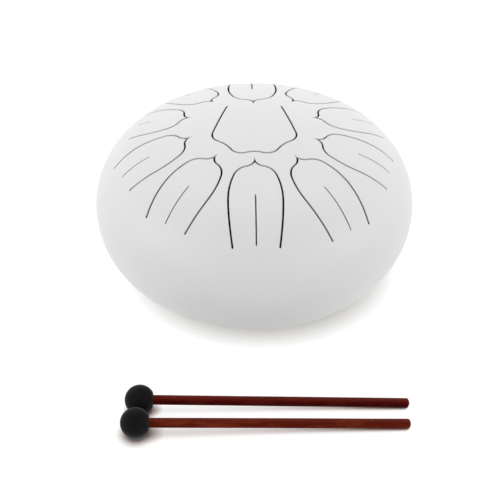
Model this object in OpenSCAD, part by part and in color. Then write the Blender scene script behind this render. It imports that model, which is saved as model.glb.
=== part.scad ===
// Steel tongue drum with eleven tongues and its two mallets.
// Z is up and the set stands on z = 0, centred on the origin. -Y is the player's side.

/* [Shells] */
// Outside diameter at the welded seam
drum_d = 254; // [220:1:300]
// Height of each pressed half, from the seam to its crown
dish_h = 71.5; // [66:0.5:90]
// Outer radius of the round shoulder between the rim and the crown
shoulder_r = 60; // [48:1:66]
// Thickness of the steel
wall = 1.8; // [1.2:0.1:2.6]
// Width of the seam weld on the outside
weld_w = 1.6; // [1:0.1:3]
// Steel left under the weld groove
weld_land = 0.6; // [0.3:0.1:1]
// Diameter of the sound hole in the bottom
sound_hole_d = 56; // [30:1:72]

/* [Ring tongues] */
// Width of the slots round the tongues
slot_w = 1.4; // [0.8:0.1:2]
// Diameter of the round hole that ends a slot
slot_end_d = 1.6; // [1.5:0.1:3]
// Width of the slit in the middle of a tongue
slit_w = 0.95; // [0.5:0.05:1.4]
// Width of a ring tongue at its widest
tongue_w = 39.4; // [34:0.2:43]
// Distance from a tongue's point to its widest place
tongue_wide_at = 38; // [32:1:48]
// Radius of a tongue's side from its widest place to its root
root_flank_r = 160; // [90:5:300]
// Radius of the two hollow curves that draw out the point
point_r = 8.4; // [7:0.1:11]
// Slant of the slot where a hollow runs into its corner, in degrees
hollow_slant = 12; // [0:1:24]
// Width of a slot at the very point
point_w = 0.4; // [0.2:0.1:0.8]
// Radius of the full corner beside the point
corner_r = 13; // [8:0.5:14]
// Distance from a tongue's point to the start of its middle slit
slit_from = 35; // [26:0.5:38]

/* [Centre tongue] */
// Distance of the two slot roots behind the axis
centre_root = 29.3; // [22:0.1:34]
// Distance between the two slot roots
centre_root_w = 43; // [34:0.2:48]
// Width across the two side corners
centre_w = 64; // [58:0.2:68]
// Distance of the side corners in front of the axis
centre_corner_at = 13; // [10:0.2:18]
// Radius of the side corners
centre_corner_r = 11.2; // [8:0.1:13]
// Distance of the two front lobes' edge in front of the axis
centre_front = 37.6; // [34:0.2:40]
// Distance between the centres of the two lobes
lobe_spread = 18; // [15:0.2:22]
// Radius of the lobes
lobe_r = 9.8; // [8:0.1:11]
// Depth of the hollow between the lobes
lobe_dip = 1.4; // [0.6:0.1:2]
// Radius of the hollow between a lobe and its side corner
neck_r = 30; // [20:1:40]

/* [Feet] */
// Gap under the bottom of the shell
foot_gap = 7; // [5:0.5:12]
// Distance of the feet from the axis
foot_ring_r = 52; // [44:1:60]
// Diameter of a foot at the floor
foot_d = 20; // [17:0.5:26]
// Diameter that a foot widens to at the shell
foot_top_d = 25; // [21:0.5:30]
// Chamfer round the sole
foot_chamfer = 1; // [0.5:0.1:2]
// Thickness of rubber clamped between the screw and the shell
foot_grip = 5; // [3.5:0.1:6]

/* [Foot screws] */
// Diameter of the screw shank
screw_d = 4; // [3:0.5:5]
// Length of the screw below its head
screw_len = 14; // [13:0.5:18]
// Diameter of the screw head
screw_head_d = 8; // [7:0.1:8.6]
// Height of the screw head
screw_head_h = 2.4; // [1.6:0.1:2.8]
// Diameter of the washers
washer_d = 9; // [8:0.1:10]
// Thickness of the washers
washer_t = 0.8; // [0.5:0.1:1.2]
// Width of the nut across its flats
nut_af = 7; // [6.5:0.1:8]
// Height of the nut
nut_h = 3.2; // [2:0.1:4]
// Clearance round a shank in its holes
screw_clear = 0.2; // [0.1:0.05:0.4]
// Clearance round a washer in its recess
recess_clear = 0.3; // [0.2:0.1:0.6]

/* [Mallets] */
// Overall length of a mallet
mallet_len = 209; // [180:1:230]
// Diameter of the stick
stick_d = 7.1; // [6:0.1:9]
// Height of the dome on the stick's free end
stick_dome = 1.6; // [0.8:0.1:3]
// Diameter of the rubber head
head_d = 22; // [18:0.5:28]
// Depth of the flat on the head, where the stick goes in
head_flat = 1.4; // [0.8:0.1:2.2]
// Depth of the stick in the head, from the flat
head_bore = 15; // [10:0.5:16]
// Distance of the back mallet's head in front of the drum's rim
rim_to_head = 30.5; // [20:0.5:60]
// Distance of the back mallet's head left of the axis
head_left = 84.3; // [60:0.1:100]
// How much farther left the front mallet's head lies
front_head_left = 1.3; // [-6:0.1:6]
// Gap between the two heads
head_gap = 0.4; // [0.3:0.1:3]
// Turn of the back mallet from the X axis, in degrees
back_yaw = 0.9; // [-1:0.1:3]
// Turn of the front mallet from the X axis, in degrees
front_yaw = 1.5; // [-3:0.1:1.6]

/* [Hidden] */
$fn = 96;

// Overrun of every cut
over = 1;
// Facets of a long arc where a mesh is drawn
arc_fn = 360;
// Reach of a wedge past the arc that it trims, and its steps
wedge_share = 2;
wedge_steps = 4;
// Size of the disc that runs two arcs of a slot together, to the slot's width
joint_share = 1.02;
// Depth that the shoulder stands through the crown before it is trimmed, to its radius
bite_share = 0.0001;
// Most that the shoulder may take of the dish's height
shoulder_most_share = 0.88;
// Most that a tongue's corner may take of the room beside its point
corner_most_share = 0.86;
// Domed part of the screw head's height
head_dome_share = 0.4;

// Radii of the tongues' points and roots, counter-clockwise from the player's side.
// The tuning makes every tongue another length.
point_shares = [0.342, 0.382, 0.374, 0.373, 0.391, 0.264, 0.407, 0.408, 0.386, 0.368];
root_shares = [0.881, 0.897, 0.840, 0.796, 0.730, 0.712, 0.721, 0.764, 0.837, 0.863];
// How far a point lies round from its even place, and how far its tongue then leans, to a step
turn_shares = [0.005, 0.042, -0.027, -0.003, -0.010, 0.032, 0.071, -0.029, -0.109, -0.014];
lean_shares = [0.014, -0.015, 0.150, 0.076, 0.007, -0.001, -0.051, 0.098, 0.274, 0.039];
ring_step = 360 / len(point_shares);
foot_angles = [90, 210, 330];

drum_r = drum_d / 2;
seam_z = foot_gap + dish_h;
shoulder = min(shoulder_r, dish_h * shoulder_most_share);
rim_c = drum_r - shoulder;
bitten_r = shoulder * (1 - bite_share);
crown_r = (pow(rim_c, 2) + pow(dish_h, 2) - pow(bitten_r, 2)) / (2 * (dish_h - bitten_r));
crown_z = foot_gap + crown_r;
// Angle up from the seam at which the shoulder runs into the crown
crown_from = atan2(crown_r - dish_h, rim_c);

// Ring tongue outline, with x measured outwards from its point
point_c = point_r - (slot_w - point_w) / 2;
slant = sin(hollow_slant);
corner = min(corner_r, corner_most_share * (tongue_w / 2 - point_c + point_r * slant) / (1 - slant));
corner_c = [0, point_c] + (point_r + corner) * aim(-hollow_slant);
flank_rise = tongue_w / 2 - corner_c[1];
flank_run = tongue_wide_at - corner_c[0];
flank_r = (pow(flank_rise, 2) + pow(flank_run, 2) - pow(corner, 2)) / (2 * (flank_rise - corner));
flank_c = [tongue_wide_at, tongue_w / 2 - flank_r];
flank_from = heading(flank_c, corner_c);
root_flank_c = [tongue_wide_at, tongue_w / 2 - root_flank_r];

// Centre tongue outline, right half
side_root = [centre_root_w / 2, centre_root];
side_c = [centre_w / 2 - centre_corner_r, -centre_corner_at];
lobe_c = [lobe_spread / 2, lobe_r - centre_front];
neck_c = outer_centre(lobe_c, lobe_r + neck_r, side_c, centre_corner_r + neck_r);
dip_drop = lobe_r - lobe_dip;
dip_r = (pow(lobe_c[0], 2) + pow(dip_drop, 2) - pow(lobe_r, 2)) / (2 * lobe_dip);
dip_c = [0, lobe_dip - centre_front - dip_r];
side_span = norm(side_c - side_root);
side_heading = heading(side_root, side_c) + asin(centre_corner_r / side_span);
side_len = sqrt(pow(side_span, 2) - pow(centre_corner_r, 2));

// Square to the shell and through the middle of the sole
foot_tilt = atan2(foot_ring_r, crown_z);
foot_h = crown_z - sqrt(pow(crown_r, 2) - pow(foot_ring_r + foot_top_d / 2, 2)) + over;
// Places along a foot's screw, measured from the centre of the crown's sphere
grip_z = crown_r + foot_grip;
inner_r = crown_r - wall;
inner_seat_z = sqrt(pow(inner_r, 2) - pow(washer_d / 2, 2));

head_r = head_d / 2;
stick_from = head_bore + head_flat - head_r;
stick_to = mallet_len - head_r;
stick_slope = asin((head_r - stick_d / 2) / (stick_to - stick_dome));
dome_r = (pow(stick_d / 2, 2) + pow(stick_dome, 2)) / (2 * stick_dome);
screw_dome = screw_head_h * head_dome_share;
screw_dome_r = (pow(screw_head_d / 2, 2) + pow(screw_dome, 2)) / (2 * screw_dome);
back_head = [-head_left, -drum_r - rim_to_head];
front_head = back_head - [front_head_left, sqrt(pow(head_d + head_gap, 2) - pow(front_head_left, 2))];
// The set is centred, so the drum stands behind the origin
drum_y = (head_r - front_head[1] - drum_r) / 2;

function aim(a) = [cos(a), sin(a)];
function heading(a, b) = atan2(b[1] - a[1], b[0] - a[0]);
// Point at distance ra from a and rb from b, on the right hand side going from a to b
function outer_centre(a, ra, b, rb) =
    let (d = norm(b - a), along = (pow(ra, 2) - pow(rb, 2) + pow(d, 2)) / (2 * d))
    a + along * aim(heading(a, b)) + sqrt(pow(ra, 2) - pow(along, 2)) * aim(heading(a, b) - 90);

module slot_ring(r) {
    difference() {
        circle(r = r + slot_w / 2, $fn = arc_fn);
        circle(r = r - slot_w / 2, $fn = arc_fn);
    }
}

// Slot along the arc of radius r about c, from angle a0 to angle a1
module arc_slot(c, r, a0, a1) {
    reach = wedge_share * (r + slot_w);
    translate(c) intersection() {
        slot_ring(r);
        polygon([[0, 0], for (i = [0:wedge_steps]) reach * aim(a0 + (a1 - a0) * i / wedge_steps)]);
    }
}

// Straight slot of width w that starts at p and runs along the heading
module line_slot(p, length, angle, w) {
    translate(p) rotate(angle) translate([0, -w / 2]) square([length, w]);
}

module slot_end(p, d) {
    translate(p) circle(d = d);
}

// Runs one arc of a slot into the next at distance r from c
module slot_joint(c, r, angle) {
    translate(c + r * aim(angle)) circle(d = slot_w * joint_share);
}

module both_sides(axis) {
    children();
    mirror(axis) children();
}

// Half section of a pressed half filled in, drawn in by the inset, with the seam on the x axis
module dish_fill(inset) {
    intersection() {
        union() {
            translate([rim_c, 0]) circle(r = shoulder - inset, $fn = arc_fn);
            square([rim_c + (shoulder - inset) * cos(crown_from), dish_h + over]);
        }
        translate([0, dish_h - crown_r]) circle(r = crown_r - inset, $fn = arc_fn);
        square([drum_r + over, dish_h + over]);
    }
}

// The V groove that the seam weld fills
module groove_section() {
    depth = wall - weld_land;
    steep = (depth + over) / depth;
    polygon([
        [drum_r - depth, 0],
        [drum_r + over, steep * weld_w / 2],
        [drum_r + over, -steep * weld_w / 2]
    ]);
}

module dish() {
    rotate_extrude() difference() {
        dish_fill(0);
        dish_fill(wall);
        groove_section();
    }
}

// Slots round one ring tongue, whose point is at the origin and whose root is at x = reach
module tongue_slots(reach) {
    root_to = 90 - asin((reach - tongue_wide_at) / root_flank_r);
    corner_from = 180 - hollow_slant;
    both_sides([0, 1]) {
        intersection() {
            arc_slot([0, point_c], point_r, -90 - over, -hollow_slant);
            square([point_r + slot_w, point_c]);
        }
        slot_joint(corner_c, corner, corner_from);
        arc_slot(corner_c, corner, corner_from, flank_from);
        slot_joint(corner_c, corner, flank_from);
        arc_slot(flank_c, flank_r, flank_from, 90);
        slot_joint(flank_c, flank_r, 90);
        arc_slot(root_flank_c, root_flank_r, 90, root_to);
        slot_end(root_flank_c + root_flank_r * aim(root_to), slot_end_d);
    }
    line_slot([slit_from, 0], reach - slit_from, 0, slit_w);
    slot_end([slit_from, 0], slit_w);
    slot_end([reach, 0], slit_w);
}

module ring_slots() {
    for (i = [0:len(point_shares) - 1])
        rotate(ring_step * (i + turn_shares[i]) - 90)
            translate([drum_r * point_shares[i], 0])
                rotate(ring_step * lean_shares[i])
                    tongue_slots(drum_r * (root_shares[i] - point_shares[i]));
}

// Slots round the centre tongue, rooted at the back and scalloped at the front
module centre_slots() {
    dip_from = heading(dip_c, lobe_c);
    both_sides([1, 0]) {
        slot_end(side_root, slot_end_d);
        line_slot(side_root, side_len, side_heading, slot_w);
        slot_joint(side_c, centre_corner_r, side_heading + 90);
        arc_slot(side_c, centre_corner_r, heading(side_c, neck_c), side_heading + 90);
        slot_joint(side_c, centre_corner_r, heading(side_c, neck_c));
        arc_slot(neck_c, neck_r, heading(neck_c, side_c), heading(neck_c, lobe_c));
        slot_joint(lobe_c, lobe_r, heading(lobe_c, neck_c));
        arc_slot(lobe_c, lobe_r, heading(lobe_c, dip_c), heading(lobe_c, neck_c));
        slot_joint(lobe_c, lobe_r, heading(lobe_c, dip_c));
    }
    arc_slot(dip_c, dip_r, dip_from, 180 - dip_from);
}

module at_drum(z) {
    translate([0, drum_y, z]) children();
}

module upper_shell() {
    color("whitesmoke") at_drum(seam_z) difference() {
        dish();
        linear_extrude(dish_h + over) {
            ring_slots();
            centre_slots();
        }
    }
}

// Places its children at the foot of one angle, with z running up the screw to the crown's centre
module along_screw(angle) {
    at_drum(crown_z) rotate(angle) rotate([0, -foot_tilt, 0]) children();
}

// The same along a foot's screw, with z = 0 at a distance below the crown's centre
module on_screw(angle, below) {
    along_screw(angle) translate([0, 0, -below]) children();
}

module lower_shell() {
    color("whitesmoke") difference() {
        at_drum(seam_z) mirror([0, 0, 1]) dish();
        at_drum(0) cylinder(d = sound_hole_d, h = seam_z);
        for (a = foot_angles)
            on_screw(a, crown_r + over) cylinder(d = screw_d + 2 * screw_clear, h = wall + 2 * over);
    }
}

module seam_weld() {
    color("whitesmoke") at_drum(seam_z) rotate_extrude() intersection() {
        translate([rim_c, 0]) circle(r = shoulder, $fn = arc_fn);
        groove_section();
    }
}

// Turned blank of a foot with its top moulded to the shell
module foot_blank(angle) {
    difference() {
        at_drum(0) rotate(angle) translate([foot_ring_r, 0, 0]) rotate_extrude() polygon([
            [0, 0],
            [foot_d / 2 - foot_chamfer, 0],
            [foot_d / 2, foot_chamfer],
            [foot_top_d / 2, foot_gap],
            [foot_top_d / 2, foot_h],
            [0, foot_h]
        ]);
        at_drum(seam_z) mirror([0, 0, 1]) rotate_extrude() dish_fill(0);
    }
}

// Rubber foot with a flat sole, its screw sunk in from below
module foot(angle) {
    color([0.1, 0.1, 0.1]) difference() {
        foot_blank(angle);
        on_screw(angle, grip_z + over) cylinder(d = screw_d + 2 * screw_clear, h = foot_grip + 2 * over);
        on_screw(angle, crown_z + foot_gap + over)
            cylinder(d = washer_d + 2 * recess_clear, h = crown_z + foot_gap + over - grip_z);
    }
}

module washer() {
    difference() {
        cylinder(d = washer_d, h = washer_t);
        translate([0, 0, -over]) cylinder(d = screw_d + 2 * screw_clear, h = washer_t + 2 * over);
    }
}

// Screw with its head's underside at z = 0 and its shank going up
module screw() {
    cylinder(d = screw_d, h = screw_len);
    intersection() {
        translate([0, 0, -screw_head_h]) cylinder(d = screw_head_d, h = screw_head_h);
        translate([0, 0, screw_dome_r - screw_head_h]) sphere(r = screw_dome_r);
    }
}

module nut() {
    difference() {
        cylinder(d = nut_af / cos(30), h = nut_h, $fn = 6);
        translate([0, 0, -over]) cylinder(d = screw_d, h = nut_h + 2 * over);
    }
}

module foot_back() {
    foot(foot_angles[0]);
}

module foot_left() {
    foot(foot_angles[1]);
}

module foot_right() {
    foot(foot_angles[2]);
}

module foot_screws() {
    color("silver") for (a = foot_angles) on_screw(a, grip_z + washer_t) screw();
}

module sole_washers() {
    color("silver") for (a = foot_angles) on_screw(a, grip_z + washer_t) washer();
}

module shell_washers() {
    color("silver") for (a = foot_angles) on_screw(a, inner_seat_z) washer();
}

module foot_nuts() {
    color("silver") for (a = foot_angles) on_screw(a, inner_seat_z - washer_t) nut();
}

// Places its children along a mallet, with z = 0 at the head's centre and z running down the stick
module at_mallet(place, yaw) {
    at_drum(head_r) translate(place) rotate(yaw) rotate([0, 90 + stick_slope, 0]) children();
}

module stick() {
    intersection() {
        translate([0, 0, -stick_from]) cylinder(d = stick_d, h = stick_from + stick_to);
        union() {
            translate([0, 0, stick_to - dome_r]) sphere(r = dome_r);
            translate([0, 0, -stick_from]) cylinder(d = head_d, h = stick_from + stick_to - stick_dome);
        }
    }
}

module head() {
    difference() {
        sphere(d = head_d);
        translate([0, 0, head_r - head_flat]) cylinder(d = head_d, h = head_r);
        translate([0, 0, -stick_from]) cylinder(d = stick_d, h = head_d);
    }
}

module stick_back() {
    color([0.3, 0.07, 0.06]) at_mallet(back_head, back_yaw) stick();
}

module head_back() {
    color([0.12, 0.12, 0.12]) at_mallet(back_head, back_yaw) head();
}

module stick_front() {
    color([0.42, 0.16, 0.1]) at_mallet(front_head, front_yaw) stick();
}

module head_front() {
    color([0.12, 0.12, 0.12]) at_mallet(front_head, front_yaw) head();
}

upper_shell();
lower_shell();
seam_weld();
foot_back();
foot_left();
foot_right();
foot_screws();
sole_washers();
shell_washers();
foot_nuts();
stick_back();
head_back();
stick_front();
head_front();
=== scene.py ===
import math
import bpy
import numpy as np
from mathutils import Matrix, Vector
from mathutils.geometry import delaunay_2d_cdt


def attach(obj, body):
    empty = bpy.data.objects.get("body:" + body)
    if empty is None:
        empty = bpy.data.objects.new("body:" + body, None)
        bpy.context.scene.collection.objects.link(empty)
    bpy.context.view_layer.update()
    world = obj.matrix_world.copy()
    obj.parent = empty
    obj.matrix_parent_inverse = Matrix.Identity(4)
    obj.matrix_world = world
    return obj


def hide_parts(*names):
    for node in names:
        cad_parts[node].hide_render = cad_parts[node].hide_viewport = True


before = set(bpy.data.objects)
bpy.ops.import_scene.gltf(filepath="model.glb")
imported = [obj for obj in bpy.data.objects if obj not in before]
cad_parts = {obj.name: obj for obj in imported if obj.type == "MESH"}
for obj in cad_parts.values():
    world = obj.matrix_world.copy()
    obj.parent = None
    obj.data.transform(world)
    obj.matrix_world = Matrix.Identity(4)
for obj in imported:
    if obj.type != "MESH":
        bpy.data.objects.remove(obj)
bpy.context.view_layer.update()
scene = bpy.context.scene
print("frame loaded")

# Pieces are worked out in millimetres, while Blender counts in metres
millimetre = 0.001
# Camera at the photograph's place: it looks along +Y and down
view = {"target": (-3.54, 31.93, 25.7), "distance": 862.3, "pitch": 38.25, "roll": 0.15, "lens": 73.73,
        "sensor": 36.0, "clip": (0.01, 100)}


def aimCamera(v):
    # back = (0, -cos pitch, sin pitch); the picture's up leans to the right by the roll
    pitch, roll = math.radians(v["pitch"]), math.radians(v["roll"])
    back = Vector((0, -math.cos(pitch), math.sin(pitch)))
    right0, up0 = Vector((1, 0, 0)), Vector((0, math.sin(pitch), math.cos(pitch)))
    right = math.cos(roll) * right0 - math.sin(roll) * up0
    up = math.cos(roll) * up0 + math.sin(roll) * right0
    data = bpy.data.cameras.new("camera")
    data.lens, data.sensor_width = v["lens"], v["sensor"]
    data.clip_start, data.clip_end = v["clip"]
    camera = bpy.data.objects.new("camera", data)
    place = (Vector(v["target"]) + back * v["distance"]) * millimetre
    camera.matrix_world = Matrix.Translation(place) @ Matrix((right, up, back)).transposed().to_4x4()
    scene.collection.objects.link(camera)
    scene.camera = camera


aimCamera(view)
scene.view_settings.view_transform = "Standard"

# Plain white studio. A lamp's row is the share of white that it gives a surface facing it, then its height
# above the floor, its turn from the front and its softness in degrees. What the camera sees of the floor is
# its colour under the lamps and a white lift, which fades to a painted shadow in an oval under the drum and
# close to the mallets, last in its red, as a painted warm light off the object. The painted shadow reaches
# farther out at the heads than at the tips, and less far behind the front stick. From below the floor is
# clear, to show the underside. The floor's places and sizes are in metres
studio = {"surround": 0.3, "floorColour": 0.85, "seenColour": 0.3, "floorLift": 0.85, "floorHalf": 6.0,
          "shadeAt": (0.0062, 0.0459, 0), "shadeHalf": (0.118, 0.107, 1), "shadeFrom": (0.58, 0.592, 0.615),
          "shadeTo": (1, 1, 1), "closeFrom": (0.32, 0.35, 0.36), "closeTo": (0.7, 0.705, 0.71),
          "closeSamples": 16, "headToTip": (-0.065, 0.065), "reach": (0.012, 0.007), "extra": (-0.115, 0.06),
          "frontToBack": (-0.142, -0.135), "shorter": (1, 0.75), "paler": (0, 0.02),
          "lamps": {"lampAbove": (0.1, 90, 0, 110), "lampBack": (0.43, 40, 180, 110),
                    "lampFrontLeft": (0.28, 12, -58, 60), "lampFrontRight": (0.28, 12, 58, 60),
                    "lampLeft": (0.19, 12, -95, 60), "lampRight": (0.165, 12, 95, 60)}}


def newNode(tree, kind, values=(), **settings):
    # A node with its settings, whose inputs take numbers, colours or other nodes' sockets
    node = tree.nodes.new("ShaderNode" + kind)
    for name, value in settings.items():
        setattr(node, name, value)
    for key, value in dict(values).items():
        if isinstance(value, bpy.types.NodeSocket):
            tree.links.new(value, node.inputs[key])
        else:
            node.inputs[key].default_value = value
    return node


def fromNode(tree, kind, values=(), **settings):
    # The first output of a new node
    return newNode(tree, kind, values, **settings).outputs[0]


def mathNode(tree, operation, *values):
    return fromNode(tree, "Math", enumerate(values), operation=operation)


def ranged(tree, value, low, high, toLow, toHigh):
    # Carries a value's range from low..high to toLow..toHigh and holds it there
    return fromNode(tree, "MapRange", {"Value": value, 1: low, 2: high, 3: toLow, 4: toHigh})


def seenDirectly(tree, *rays):
    # 1 for the camera and for the kinds of ray that should see the same
    path = newNode(tree, "LightPath")
    seen = path.outputs["Is Camera Ray"]
    for ray in rays:
        seen = mathNode(tree, "MAXIMUM", seen, path.outputs[ray])
    return seen


def clearedTree(owner):
    owner.use_nodes = True
    owner.node_tree.nodes.clear()
    return owner.node_tree


def makeSurround(v):
    # The surround lights the object at its own level, while the camera and mirrors see plain white
    scene.world = bpy.data.worlds.new("surround")
    tree = clearedTree(scene.world)
    lit, white = [fromNode(tree, "Background", {"Color": (1, 1, 1, 1), "Strength": level})
                  for level in (v["surround"], 1)]
    seen = seenDirectly(tree, "Is Glossy Ray", "Is Transmission Ray")
    newNode(tree, "OutputWorld", {"Surface": fromNode(tree, "MixShader", {0: seen, 1: lit, 2: white})})


def makeLamps(v):
    # A lamp's energy is its level times pi, as a diffuse surface sends back its light over pi
    for name, (level, height, turn, softness) in v["lamps"].items():
        lamp = bpy.data.lights.new(name, "SUN")
        lamp.energy = level * math.pi
        lamp.angle = math.radians(softness)
        holder = bpy.data.objects.new(name, lamp)
        height, turn = math.radians(height), math.radians(turn)
        toLamp = Vector((math.sin(turn) * math.cos(height), -math.cos(turn) * math.cos(height),
                         math.sin(height)))
        holder.rotation_mode = "QUATERNION"
        holder.rotation_quaternion = toLamp.to_track_quat("Z", "Y")
        scene.collection.objects.link(holder)


def floorMaterial(v):
    material = bpy.data.materials.new("paleFloor")
    tree = clearedTree(material)
    matt, seenMatt = [fromNode(tree, "BsdfDiffuse", {"Color": (v[key],) * 3 + (1,)})
                      for key in ("floorColour", "seenColour")]
    surface = newNode(tree, "NewGeometry").outputs
    # Painted shadow: a fixed oval under the drum, and near the mallets ambient occlusion shifted by place
    onOval = fromNode(tree, "Mapping", {"Vector": surface["Position"], "Location": v["shadeAt"],
                                        "Scale": v["shadeHalf"]}, vector_type="TEXTURE")
    fromMiddle = newNode(tree, "VectorMath", {0: onOval}, operation="LENGTH").outputs["Value"]
    place = newNode(tree, "SeparateXYZ", {0: surface["Position"]}).outputs
    reach, extra = [ranged(tree, place["X"], *v["headToTip"], *v[key]) for key in ("reach", "extra")]
    shorter, paler = [ranged(tree, place["Y"], *v["frontToBack"], *v[key]) for key in ("shorter", "paler")]
    openness = newNode(tree, "AmbientOcclusion", {"Distance": mathNode(tree, "MULTIPLY", reach, shorter)},
                       samples=v["closeSamples"]).outputs["AO"]
    openness = mathNode(tree, "ADD", mathNode(tree, "ADD", openness, extra), paler)
    past, clear = [newNode(tree, "MapRange", {6: value, 7: v[low], 8: v[high]},
                           data_type="FLOAT_VECTOR").outputs["Vector"]
                   for value, low, high in ((fromMiddle, "shadeFrom", "shadeTo"),
                                            (openness, "closeFrom", "closeTo"))]
    lift = fromNode(tree, "VectorMath", {0: past, 1: clear}, operation="MULTIPLY")
    glow = fromNode(tree, "Emission", {"Color": lift, "Strength": v["floorLift"]})
    seenFloor = fromNode(tree, "AddShader", {0: seenMatt, 1: glow})
    above = fromNode(tree, "MixShader", {0: seenDirectly(tree, "Is Glossy Ray"), 1: matt, 2: seenFloor})
    clearBelow = fromNode(tree, "MixShader", {0: surface["Backfacing"], 1: above,
                                              2: fromNode(tree, "BsdfTransparent")})
    newNode(tree, "OutputMaterial", {"Surface": clearBelow})
    return material


def makeFloor(v):
    half = v["floorHalf"]
    mesh = bpy.data.meshes.new("floor")
    mesh.from_pydata([(-half, -half, 0), (half, -half, 0), (half, half, 0), (-half, half, 0)], [],
                     [(0, 1, 2, 3)])
    mesh.materials.append(floorMaterial(v))
    floor = bpy.data.objects.new("floor", mesh)
    scene.collection.objects.link(floor)


makeSurround(studio)
makeLamps(studio)
makeFloor(studio)
print("studio made")


def newGroup(name, inputs, outputs):
    # A shader node group with a Vector, the number inputs and outputs, and the sockets of its two end nodes
    group = bpy.data.node_groups.new(name, "ShaderNodeTree")
    group.interface.new_socket(name="Vector", in_out="INPUT", socket_type="NodeSocketVector")
    for way, labels in (("INPUT", inputs), ("OUTPUT", outputs)):
        for label in labels:
            group.interface.new_socket(name=label, in_out=way, socket_type="NodeSocketFloat")
    return group, group.nodes.new("NodeGroupInput").outputs, group.nodes.new("NodeGroupOutput").inputs


# Noises of the finishes: how many times finer than the Size in metres, their detail and their roughness
finishNoises = {"Cloud": (1, 2, 0.5), "Mottle": (5, 4, 0.5), "Swell": (1, 1, 0.4), "Grain": (6, 2, 0.6)}


def finishNoise(group, given, label):
    finer, detail, rough = finishNoises[label]
    scale = mathNode(group, "MULTIPLY", mathNode(group, "DIVIDE", 1, given["Size"]), finer)
    values = {"Vector": given["Vector"], "Scale": scale, "Detail": detail, "Roughness": rough}
    return fromNode(group, "TexNoise", values)


def unevennessGroup():
    # Slow cloudy change and a finer mottle, both from 0 to 1
    group, given, wanted = newGroup("unevenness", ["Size"], ["Cloud", "Mottle"])
    for label in ("Cloud", "Mottle"):
        group.links.new(finishNoise(group, given, label), wanted[label])
    return group


def skinGroup():
    # Height of a sprayed or moulded skin: round swells under a finer grain
    group, given, wanted = newGroup("skin", ["Size", "Grain"], ["Height"])
    swell, grain = [finishNoise(group, given, label) for label in ("Swell", "Grain")]
    group.links.new(mathNode(group, "MULTIPLY_ADD", grain, given["Grain"], swell), wanted["Height"])
    return group


# Noises of the wood, drawn out along the stick: scale across it, scale along it, detail and distortion
woodNoises = {"Streaks": (420, 14, 3, 0.3), "Patches": (190, 55, 3, 0.5), "Lines": (1300, 34, 2, 0.1),
              "Pores": (2600, 160, 1, 0)}


def woodGroup():
    # Figure of a turned stick along z: streaks, patches, fine grain lines and short dark pores
    group, given, wanted = newGroup("woodFigure", ["Seed"], woodNoises)
    for label, (across, along, detail, bend) in woodNoises.items():
        drawn = fromNode(group, "Mapping", {"Vector": given["Vector"], "Scale": (across, across, along)})
        values = {"Vector": drawn, "W": given["Seed"], "Scale": 1, "Detail": detail, "Distortion": bend}
        noise = fromNode(group, "TexNoise", values, noise_dimensions="4D")
        group.links.new(noise, wanted[label])
    return group


unevenness, skin, woodFigure = unevennessGroup(), skinGroup(), woodGroup()


def useGroup(tree, group, vector, **values):
    return newNode(tree, "Group", {"Vector": vector, **values}, node_tree=group).outputs


def blended(tree, factor, first, second):
    # A colour between two, each of them a colour or another node's socket
    first, second = [c if isinstance(c, bpy.types.NodeSocket) else (*c, 1) for c in (first, second)]
    return newNode(tree, "Mix", {"Factor": factor, 6: first, 7: second}, data_type="RGBA").outputs[2]


def newMaterial(name, sockets):
    # A material with values set on its Principled shader, and the piece's own coordinates in metres
    material = bpy.data.materials.new(name)
    material.use_nodes = True
    tree = material.node_tree
    shader = tree.nodes["Principled BSDF"]
    for label, value in sockets.items():
        shader.inputs[label].default_value = value
    return material, tree, shader, newNode(tree, "TexCoord").outputs["Object"]


def feedShader(tree, shader, colour, rough, height, depth):
    # depth is how far the height from 0 to 1 stands, in metres
    bump = fromNode(tree, "Bump", {"Height": height, "Distance": depth})
    for label, value in (("Base Color", colour), ("Roughness", rough), ("Normal", bump)):
        tree.links.new(value, shader.inputs[label])


def cloudedMaterial(v, changed=None):
    # A grained finish whose colour drifts between two and whose roughness goes with a finer mottle; the
    # function given changes the colour and says what the roughness goes with
    material, tree, shader, place = newMaterial(v["name"], v["sockets"])
    change = useGroup(tree, unevenness, place, Size=v["cloudSize"])
    colour, mottle = blended(tree, change["Cloud"], v["colour"], v["cloudColour"]), change["Mottle"]
    if changed:
        colour, mottle = changed(tree, v, colour, mottle)
    rough = ranged(tree, mottle, *v["mottle"], *v["roughness"])
    height = useGroup(tree, skin, place, Size=v["grainSize"], Grain=v["grain"])["Height"]
    feedShader(tree, shader, colour, rough, height, v["grainDepth"])
    return material


# The drum's form in millimetres, measured from the middle of its seam, and its meshes' spacing and steps
drum = {"radius": 127.0, "height": 71.5, "shoulder": 60.0, "wall": 1.8, "seamZ": 78.5, "centreY": 31.931,
        "lacqueredDepth": 1.5, "weldHalf": 0.8, "weldLand": 0.6, "lip": 0.2, "lipSteps": 4, "lipShade": 0.3,
        "spacing": 2.7, "fewestAround": 6, "aroundRim": 288, "rimSteps": 16, "fieldRadius": 117.8,
        "loopClear": 1.3, "sameWithin": 1e-6}
shoulder, wall = drum["shoulder"], drum["wall"]
# The crown's radius, and the angle, radius and length along the shell where it meets the shoulder
rimC = drum["radius"] - shoulder
crownR = (rimC ** 2 + drum["height"] ** 2 - shoulder ** 2) / (2 * (drum["height"] - shoulder))
joinAngle = math.atan2(crownR - drum["height"], rimC)
joinR = rimC + shoulder * math.cos(joinAngle)
toJoin = crownR * math.asin(joinR / crownR)
# Keeps a division from zero
tiny = 1e-9


def circle(count):
    # Angles spread evenly round
    return 2 * math.pi * np.arange(count) / count


aroundRim = circle(drum["aroundRim"])


def aim(angle):
    return np.stack([np.cos(angle), np.sin(angle)], -1)


def flatRing(turn, r, z):
    # Points at the angles, at the radius r and the height z
    return np.column_stack([r * aim(turn), np.full(len(turn), z)])


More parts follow.
